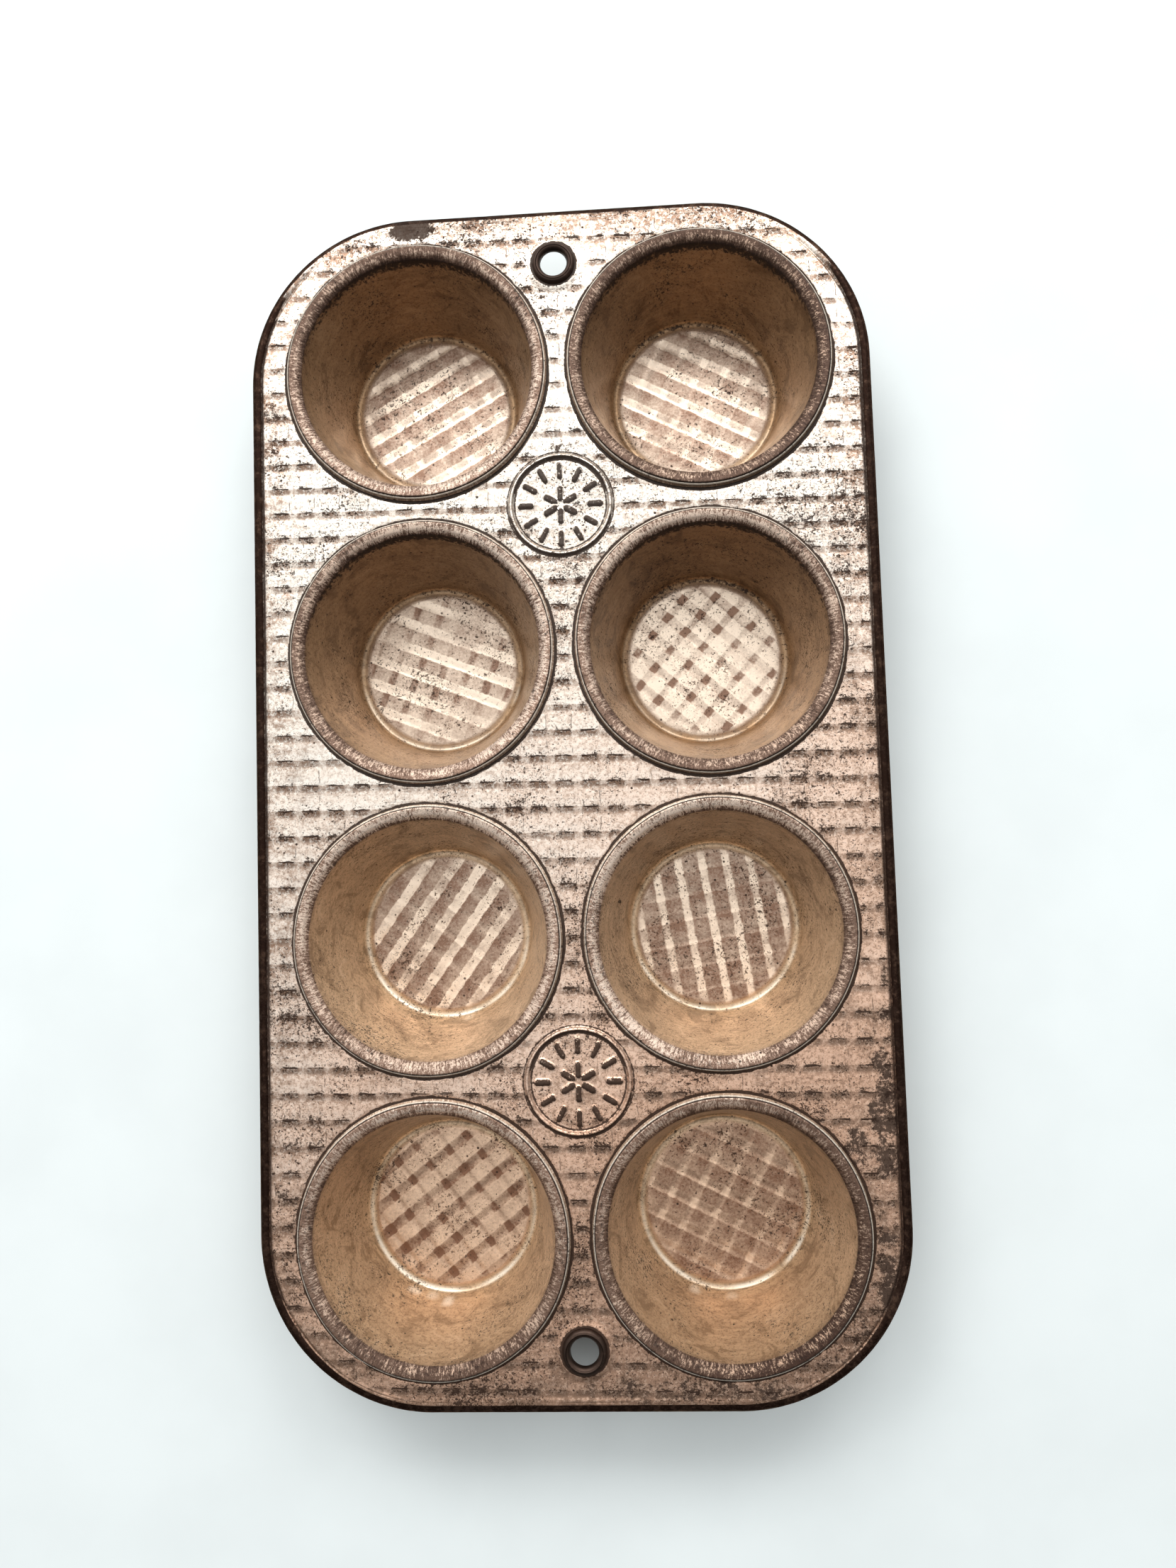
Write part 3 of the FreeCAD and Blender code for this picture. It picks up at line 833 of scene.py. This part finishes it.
def stations():
    """Points along the corners' inner rectangle, and the outward direction at each, all round."""
    x, y = HALF_WIDTH - CORNER_RADIUS, HALF_LENGTH - CORNER_RADIUS
    corners = [np.array(corner) for corner in ((x, -y), (x, y), (-x, y), (-x, -y))]
    spots = []
    for quarter, (start, end) in enumerate(zip(corners, corners[1:] + corners[:1])):
        heading = math.pi / 2 * quarter
        side = round(np.hypot(*(end - start)) / STATION_STEP)
        bend = round(CORNER_RADIUS * math.pi / 2 / STATION_STEP)
        spots += [(start + (end - start) * k / side, heading) for k in range(side)]
        spots += [(end, heading + math.pi / 2 * k / bend) for k in range(bend)]
    return (np.array([place for place, _ in spots]),
            np.array([(math.cos(heading), math.sin(heading)) for _, heading in spots]))


def inset_of(x, y):
    """Distance in from the tin's outside."""
    dx = np.abs(x) - (HALF_WIDTH - CORNER_RADIUS)
    dy = np.abs(y) - (HALF_LENGTH - CORNER_RADIUS)
    past_corner = np.hypot(np.maximum(dx, 0), np.maximum(dy, 0))
    beyond = np.where((dx > 0) & (dy > 0), past_corner, np.maximum(dx, dy))
    return CORNER_RADIUS - beyond


def raised_line(x, y, start, end, half_width):
    """1 on top of a round-ended raised bar and 0 beside it."""
    start, end = np.array(start), np.array(end)
    run = end - start
    share = np.clip(((x - start[0]) * run[0] + (y - start[1]) * run[1]) / (run @ run), 0, 1)
    away = np.hypot(x - start[0] - share * run[0], y - start[1] - share * run[1])
    return smooth(away, half_width + 0.35, half_width - 0.45)


def ornament(x, y):
    """Height of a medallion's raised ring and rosette: a circle of bars round a flower."""
    r = np.hypot(x, y)
    height = 0.8 * smooth(np.abs(r - MEDALLION_RING_RADIUS), 0.95, 0.10)
    spokes = [(8.4, 11.5, 0.75, 2 * math.pi * k / BARS) for k in range(BARS)]
    spokes += [(1.9, 4.6, 0.85, 2 * math.pi * (k + 0.5) / PETALS) for k in range(PETALS)]
    for inner, outer, half_width, turn in spokes:
        heading = np.array((math.cos(turn), math.sin(turn)))
        height = np.maximum(height, 0.55 * raised_line(x, y, heading * inner, heading * outer, half_width))
    return height


def plate_relief(x, y):
    """Height above the flat frame, strength of the waffle texture, and grime with painted shade on the
    medallions' -Y flanks.
    """
    height, grime = np.zeros_like(x), np.zeros_like(x)
    strength, settle = np.ones_like(x), np.ones_like(x)
    for centre in CUPS.values():
        r = np.hypot(x - centre[0], y - centre[1])
        strength *= smooth(r, 38.5, 39.7)
        settle *= smooth(r, 38.4, 44.0)
        height -= 0.30 * smooth(r, 39.1, 38.2)
        ragged = 0.25 * wander(x, y, 7, 11.0) + 0.20 * wander(x, y, 8, 3.5)
        grime = np.maximum(grime, smooth(r + ragged, 39.2, 38.5))
    for centre in MEDALLIONS:
        r = np.hypot(x - centre[0], y - centre[1])
        strength *= 0.25 + 0.75 * smooth(r, 14.5, 17.0)
        height -= 0.12 * smooth(r, 14.6, 12.8)
        near = r < MEDALLION_CLEAR
        mx, my = x[near] - centre[0], y[near] - centre[1]
        raised = ornament(mx, my)
        # Painted shade: the ornament's flanks that face -Y are darkened
        minus_y_flank_shade = ornament(mx, my + 0.3) - ornament(mx, my - 0.3)
        stroke = 0.66 * smooth(raised, 0.1, 0.35) * (np.hypot(mx, my) < ORNAMENT_RADIUS)
        beside = 0.7 * smooth(np.abs(np.abs(np.hypot(mx, my) - MEDALLION_RING_RADIUS) - 1.1), 0.5, 0.1)
        stroke = np.maximum(stroke, beside)
        height[near] += raised
        grime[near] = np.maximum(grime[near], np.maximum(0.8 * smooth(minus_y_flank_shade, 0.02, 0.25), stroke))
    for centre in EYELETS.values():
        r = np.hypot(x - centre[0], y - centre[1])
        strength *= smooth(r, 7.6, 9.6)
        height += 0.4 * smooth(r, 8.3, 6.9)
        grime = np.maximum(grime, smooth(r, 7.2, 6.5))
    slow = 0.22 * wander(x, y, 5, 90.0) + 0.10 * wander(x, y, 6, 30.0)
    return height + settle * slow + strength * waffle(*frame_waffle(x, y)), strength, grime


def blots(x, y):
    """Dark stains: how far each spot is inside one of them."""
    amount = np.zeros_like(x)
    for bx, by, reach_x, reach_y, strength in BLOTS:
        away = np.hypot((x - bx) / reach_x, (y - by) / reach_y)
        amount = np.maximum(amount, strength * smooth(away, 1.5, 0.3))
    return amount


def ring_points(centre, radius, count):
    turns = np.arange(count) * 2 * math.pi / count
    return np.stack([centre[0] + radius * np.cos(turns), centre[1] + radius * np.sin(turns)], 1)


def square_grid(centre, reach, step):
    """Points of a square grid that are within reach of its centre."""
    steps = step * np.arange(-(reach // step), reach // step + 1)
    x, y = np.meshgrid(centre[0] + steps, centre[1] + steps)
    spots = np.stack([x.ravel(), y.ravel()], 1)
    return spots[np.hypot(*(spots - centre).T) < reach]


def waffle_grid():
    """Points all over the frame on lines that follow the waffle, closer together across its bands."""
    lines = np.array((-1.35, -0.95, -0.5, 0.0, 0.5, 0.95, 1.35, 2.45, 3.6, 4.75))
    reach = math.ceil(HALF_LENGTH / WAFFLE_PITCH) + 1
    along = (np.arange(-reach, reach + 1)[:, None] * WAFFLE_PITCH + lines).ravel()
    u, v = np.meshgrid(along[np.abs(along) < HALF_WIDTH + 8], along)
    spots = np.stack([u.ravel(), v.ravel()], 1) @ np.linalg.inv(FRAME_WAFFLE).T + FRAME_WAFFLE_ORIGIN
    return spots[inset_of(*spots.T) > 0]


def clear_of(points, centres, distance):
    """Which points are farther than the distance from every centre."""
    return np.all([np.hypot(*(points - centre).T) > distance for centre in centres], axis=0)


def field_points(places, outward):
    """The flat frame's free points: a grid on the waffle, finer where the sheet has small relief."""
    field = waffle_grid()
    groups = [field[clear_of(field, CUPS.values(), RIM_CLEAR) & clear_of(field, MEDALLIONS, MEDALLION_CLEAR)
                    & clear_of(field, EYELETS.values(), SEAT_REACH)
                    & (inset_of(*field.T) > EDGE_START_INSET + 1.1)]]
    for centre in MEDALLIONS:
        groups.append(square_grid(centre, ORNAMENT_RADIUS, FINE_STEP))
        groups += [ring_points(centre, radius, RING_POINTS) for radius in np.arange(13.0, 15.8, 0.27)]
    for centre in EYELETS.values():
        groups += [ring_points(centre, radius, SEAT_POINTS) for radius in np.arange(5.2, 9.3, 0.55)]
    for centre in CUPS.values():
        groups += [ring_points(centre, radius, count) for radius, count in RIM_RINGS[1:]]
    groups.append(places + outward * (CORNER_RADIUS - EDGE_START_INSET - 0.55))
    return groups


def triangulated(loops, spots):
    """The flat frame in triangles between its outline and holes, and each given point's new number."""
    starts = np.cumsum([0] + [len(loop) for loop in loops])
    edges = [(int(start) + k, int(start) + (k + 1) % len(loop)) for start, loop in zip(starts, loops)
             for k in range(len(loop))]
    made = delaunay_2d_cdt([Vector(spot) for spot in spots.tolist()], edges, [], 0, 1e-7, True)
    xy = np.array([tuple(spot) for spot in made[0]])
    triangles = np.array(made[2])
    number = np.zeros(len(spots), int)
    for now, origins in enumerate(made[3]):
        number[origins] = now
    middle = xy[triangles].mean(axis=1)
    triangles = triangles[(inset_of(*middle.T) > EDGE_START_INSET)
                          & clear_of(middle, CUPS.values(), COLLAR_REACH - 0.02)
                          & clear_of(middle, EYELETS.values(), SEAT_HOLE_RADIUS - 0.02)]
    a, b, c = (xy[triangles[:, k]] for k in range(3))
    backwards = np.cross(b - a, c - a) < 0
    triangles[backwards] = triangles[backwards][:, ::-1]
    return xy, triangles, [number[start:end] for start, end in zip(starts, starts[1:])]


def edge_rows(places, outward):
    """The shoulder, gutter and rolled edge all round: points, waffle marks, dirt and dark edging."""
    edge = with_steps(bent_face(EDGE_PATH, 1), 0.8)
    r, z = edge[:, :1], edge[:, 1:]
    normals = line_normals(edge)
    share = np.linspace(0, 1, len(edge))
    spots = places[None] + outward[None] * r[..., None]
    relief, strength, _ = plate_relief(spots[..., 0], spots[..., 1])
    keep = np.interp(share, (0, 0.12, 0.55, 0.75), (1.0, 0.6, 0.45, 0.0))[:, None]
    lift = relief * keep
    rows = np.concatenate([spots + outward[None] * (normals[:, :1, None] * lift[..., None]),
                           (z + normals[:, 1:] * lift)[..., None]], -1)
    marks = np.stack([*frame_waffle(spots[..., 0], spots[..., 1]), strength * keep], -1)
    # At the two ends the gutter is filled up nearly to the crest of the roll
    facing = outward[None, :, 1]
    in_from_crest = ROLL_CENTRE - r
    level = PLATE_TOP - 0.2 * (1 - in_from_crest / (ROLL_CENTRE - r[0, 0])) ** 2
    missing = np.maximum(level - z, 0) * (in_from_crest > 0) * (z > ROLL_HEIGHT)
    rows[..., 2] += missing * smooth(np.abs(facing), 0.5, 0.9)
    from_gutter = np.hypot(r - (ROLL_CENTRE - 1.5), z - (ROLL_HEIGHT + 0.75))
    dirt = 0.75 * smooth(from_gutter, 1.0, 0.2) * smooth(np.abs(facing), 0.75, 0.3)
    # The dark edging is widest along the sides, and only a line at the +Y end
    reach = r - np.interp(facing, (-1.0, -0.75, 0.3), (0.4, 0.1, 0.0))
    edging = np.maximum(smooth(reach, 44.7, 45.7) * smooth(facing, 0.8, 0.35),
                        smooth(r + 0.6 * smooth(facing, 0.3, 0.8), 46.4, 47.3))
    edging[share > 0.7] = 1
    return rows, marks, dirt, edging


def collar_rows(centre, dip):
    """The collar that stands up from the sheet round one cup's hole."""
    collar = with_steps(bent_face(COLLAR_PATH, -1), 1.6)
    _, x, y, z = turned_rows(collar, len(dip))
    z = z + dip * smooth(np.arange(len(collar)), 3, 0)[:, None]
    rows = np.stack([x + centre[0], y + centre[1], z], -1)
    plain = np.zeros(z.shape)
    return rows, np.zeros_like(rows), plain, plain


def make_frame_sheet():
    places, outward = stations()
    loops = [places + outward * (CORNER_RADIUS - EDGE_START_INSET)]
    loops += [ring_points(centre, *RIM_RINGS[0]) for centre in CUPS.values()]
    loops += [ring_points(centre, SEAT_HOLE_RADIUS, SEAT_POINTS) for centre in EYELETS.values()]
    xy, triangles, loops = triangulated(loops, np.concatenate(loops + field_points(places, outward)))
    height, strength, grime = plate_relief(*xy.T)
    flat = (np.column_stack([xy, PLATE_TOP + height]), np.column_stack([*frame_waffle(*xy.T), strength]),
            grime, np.zeros(len(xy)))
    parts, faces, count = [flat], [triangles], len(xy)

    strips = [(edge_rows(places, outward), True)]
    strips += [(collar_rows(centre, height[loop]), False) for centre, loop in zip(CUPS.values(), loops[1:])]
    for loop, (strip, outwards) in zip(loops, strips):
        added = [values[1:].reshape(-1, *values.shape[2:]) for values in strip]
        numbers = np.arange(count, count + len(added[0])).reshape(-1, len(loop))
        parts.append(added)
        faces.append(joined(np.concatenate([loop[None], numbers]), outwards))
        count += numbers.size

    points, marks, dirt, edging = (np.concatenate(values) for values in zip(*parts))
    x, y, _ = points.T
    attributes = {"waffle": marks, "grime": dirt, "edge": edging, "blot": blots(x, y),
                  "margin": smooth(inset_of(x, y), MARGIN_WIDTH, 1.5)}
    piece = make_sheet("frame_sheet", points, faces, attributes, FRAME_TIN)
    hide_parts("top_plate")


make_frame_sheet()


# ---------------- eyelets and wire

EYELET_SEGMENTS = 120
EYELET_PATH = [
    (6.0, 32.15, 0),
    (4.1, 32.15, 0.3),
    (4.1, 34.15, 1.05),
    (5.95, 34.15, 0.95),
    (5.95, 32.9, 0),
]


def make_eyelet(node, seed):
    profile = with_steps(bent_face(EYELET_PATH, 1), 0.5)
    angles, x, y, z = turned_rows(profile, EYELET_SEGMENTS)
    r = np.hypot(x, y)
    draw = np.random.default_rng(seed)
    outside = smooth(r, 5.6, 6.4) * (z > 32.6)
    frayed = sum(draw.uniform(0.01, 0.05) * np.sin(waves * angles + draw.uniform(0, 6.3))
                 for waves in (2, 5, 9, 14, 23))
    stretch = 1 + 0.12 * frayed * outside
    x, y = x * stretch, y * stretch
    centre = EYELETS[node]
    points = np.stack([x + centre[0], y + centre[1], z], -1).reshape(-1, 3)
    rows = np.arange(len(points)).reshape(-1, EYELET_SEGMENTS)
    piece = make_sheet(node + "_ring", points, [joined(rows, True)], {}, EYELET_STEEL)
    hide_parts(node)


for number, eyelet_name in enumerate(EYELETS):
    make_eyelet(eyelet_name, number + 40)

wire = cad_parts["edge_wire"]
wire.data.materials.clear()
wire.data.materials.append(WIRE_STEEL)


# ---------------- floor, light and camera, in metres

FLOOR_REACH = 3.0
BRIGHT_WAY = (-0.07, 0.72, 0.68)     # towards the brightest part of the dome
DIM, BRIGHT = 0.07, 1.15
COOL_WHITE = (0.97, 0.99, 1.0)
# Place, size, power and whether the tin mirrors it, of each soft light
SOFTBOXES = {
    "window_left": ((-0.42, 0.98, 1.0), (0.55, 0.5), 6.5, True),
    "window_right": ((0.36, 0.98, 1.0), (0.55, 0.5), 6.5, True),
    "floor_window": ((-0.42, 0.80, 1.0), (0.8, 0.6), 3.5, False),
    "overhead": ((0.0, 0.0, 1.3), (1.1, 1.1), 3.5, False),
}
LIT_SPOT = Vector((0, 0, 0.02))
CAMERA_PLACE = (0.0235, -0.0218, 0.3231 + PLATE_TOP * MM)
CAMERA_TILT = (("Z", 1.96), ("Y", -3.18), ("X", -4.10))       # in degrees, the last one first
CAMERA_LENS = 26.46


def floor_paper():
    """Pale, faintly clouded paper."""
    shade = Shade("floor_paper")
    cloud = shade.rise(shade.noise(60.0, detail=5), 0.3, 0.7)
    shade.use("Base Color", shade.mix(cloud, tuple(0.95 * c for c in PAPER), PAPER))
    shade.use("Roughness", 0.9)
    return shade.material


def make_floor():
    mesh = bpy.data.meshes.new("floor")
    corners = [(x * FLOOR_REACH, y * FLOOR_REACH, 0) for x, y in ((-1, -1), (1, -1), (1, 1), (-1, 1))]
    mesh.from_pydata(corners, [], [(0, 1, 2, 3)])
    mesh.materials.append(floor_paper())
    floor = bpy.data.objects.new("floor", mesh)
    bpy.context.scene.collection.objects.link(floor)


def make_world():
    """A soft studio dome, brightest past the tin's +Y end and dim behind the camera's near side."""
    world = bpy.data.worlds.new("studio")
    bpy.context.scene.world = world
    world.use_nodes = True
    sky = Nodes(world.node_tree)
    direction = sky.node("ShaderNodeTexCoord", {})["Generated"]
    facing = sky.node("ShaderNodeVectorMath", {0: direction, 1: Vector(BRIGHT_WAY).normalized()},
                      operation="DOT_PRODUCT")["Value"]
    strength = sky.node("ShaderNodeMapRange", {
        "Value": facing, "From Min": 0.12, "From Max": 0.72, "To Min": DIM, "To Max": BRIGHT},
        interpolation_type="SMOOTHSTEP")["Result"]
    background = sky.tree.nodes["Background"].inputs
    sky.feed(background["Strength"], strength)
    sky.feed(background["Color"], COOL_WHITE)


def add_softbox(name, place, size, power, mirrored):
    lamp = bpy.data.lights.new(name, "AREA")
    lamp.shape = "RECTANGLE"
    lamp.size, lamp.size_y = size
    lamp.energy = power
    holder = bpy.data.objects.new(name, lamp)
    holder.location = place
    holder.rotation_euler = (LIT_SPOT - Vector(place)).to_track_quat("-Z", "Y").to_euler()
    holder.visible_glossy = mirrored
    bpy.context.scene.collection.objects.link(holder)


def make_camera():
    """A camera held above the tin, leaning a little, at the photograph's viewing angle."""
    camera = bpy.data.cameras.new("camera")
    camera.sensor_width = 36
    camera.lens = CAMERA_LENS
    holder = bpy.data.objects.new("camera", camera)
    to_camera = Matrix.Identity(3)
    for axis, degrees in CAMERA_TILT:
        to_camera = to_camera @ Matrix.Rotation(math.radians(degrees), 3, axis)
    holder.matrix_world = Matrix.Translation(CAMERA_PLACE) @ to_camera.transposed().to_4x4()
    bpy.context.scene.collection.objects.link(holder)
    bpy.context.scene.camera = holder


make_floor()
make_world()
for light_name, settings in SOFTBOXES.items():
    add_softbox(light_name, *settings)
make_camera()
bpy.context.scene.view_settings.view_transform = "Standard"
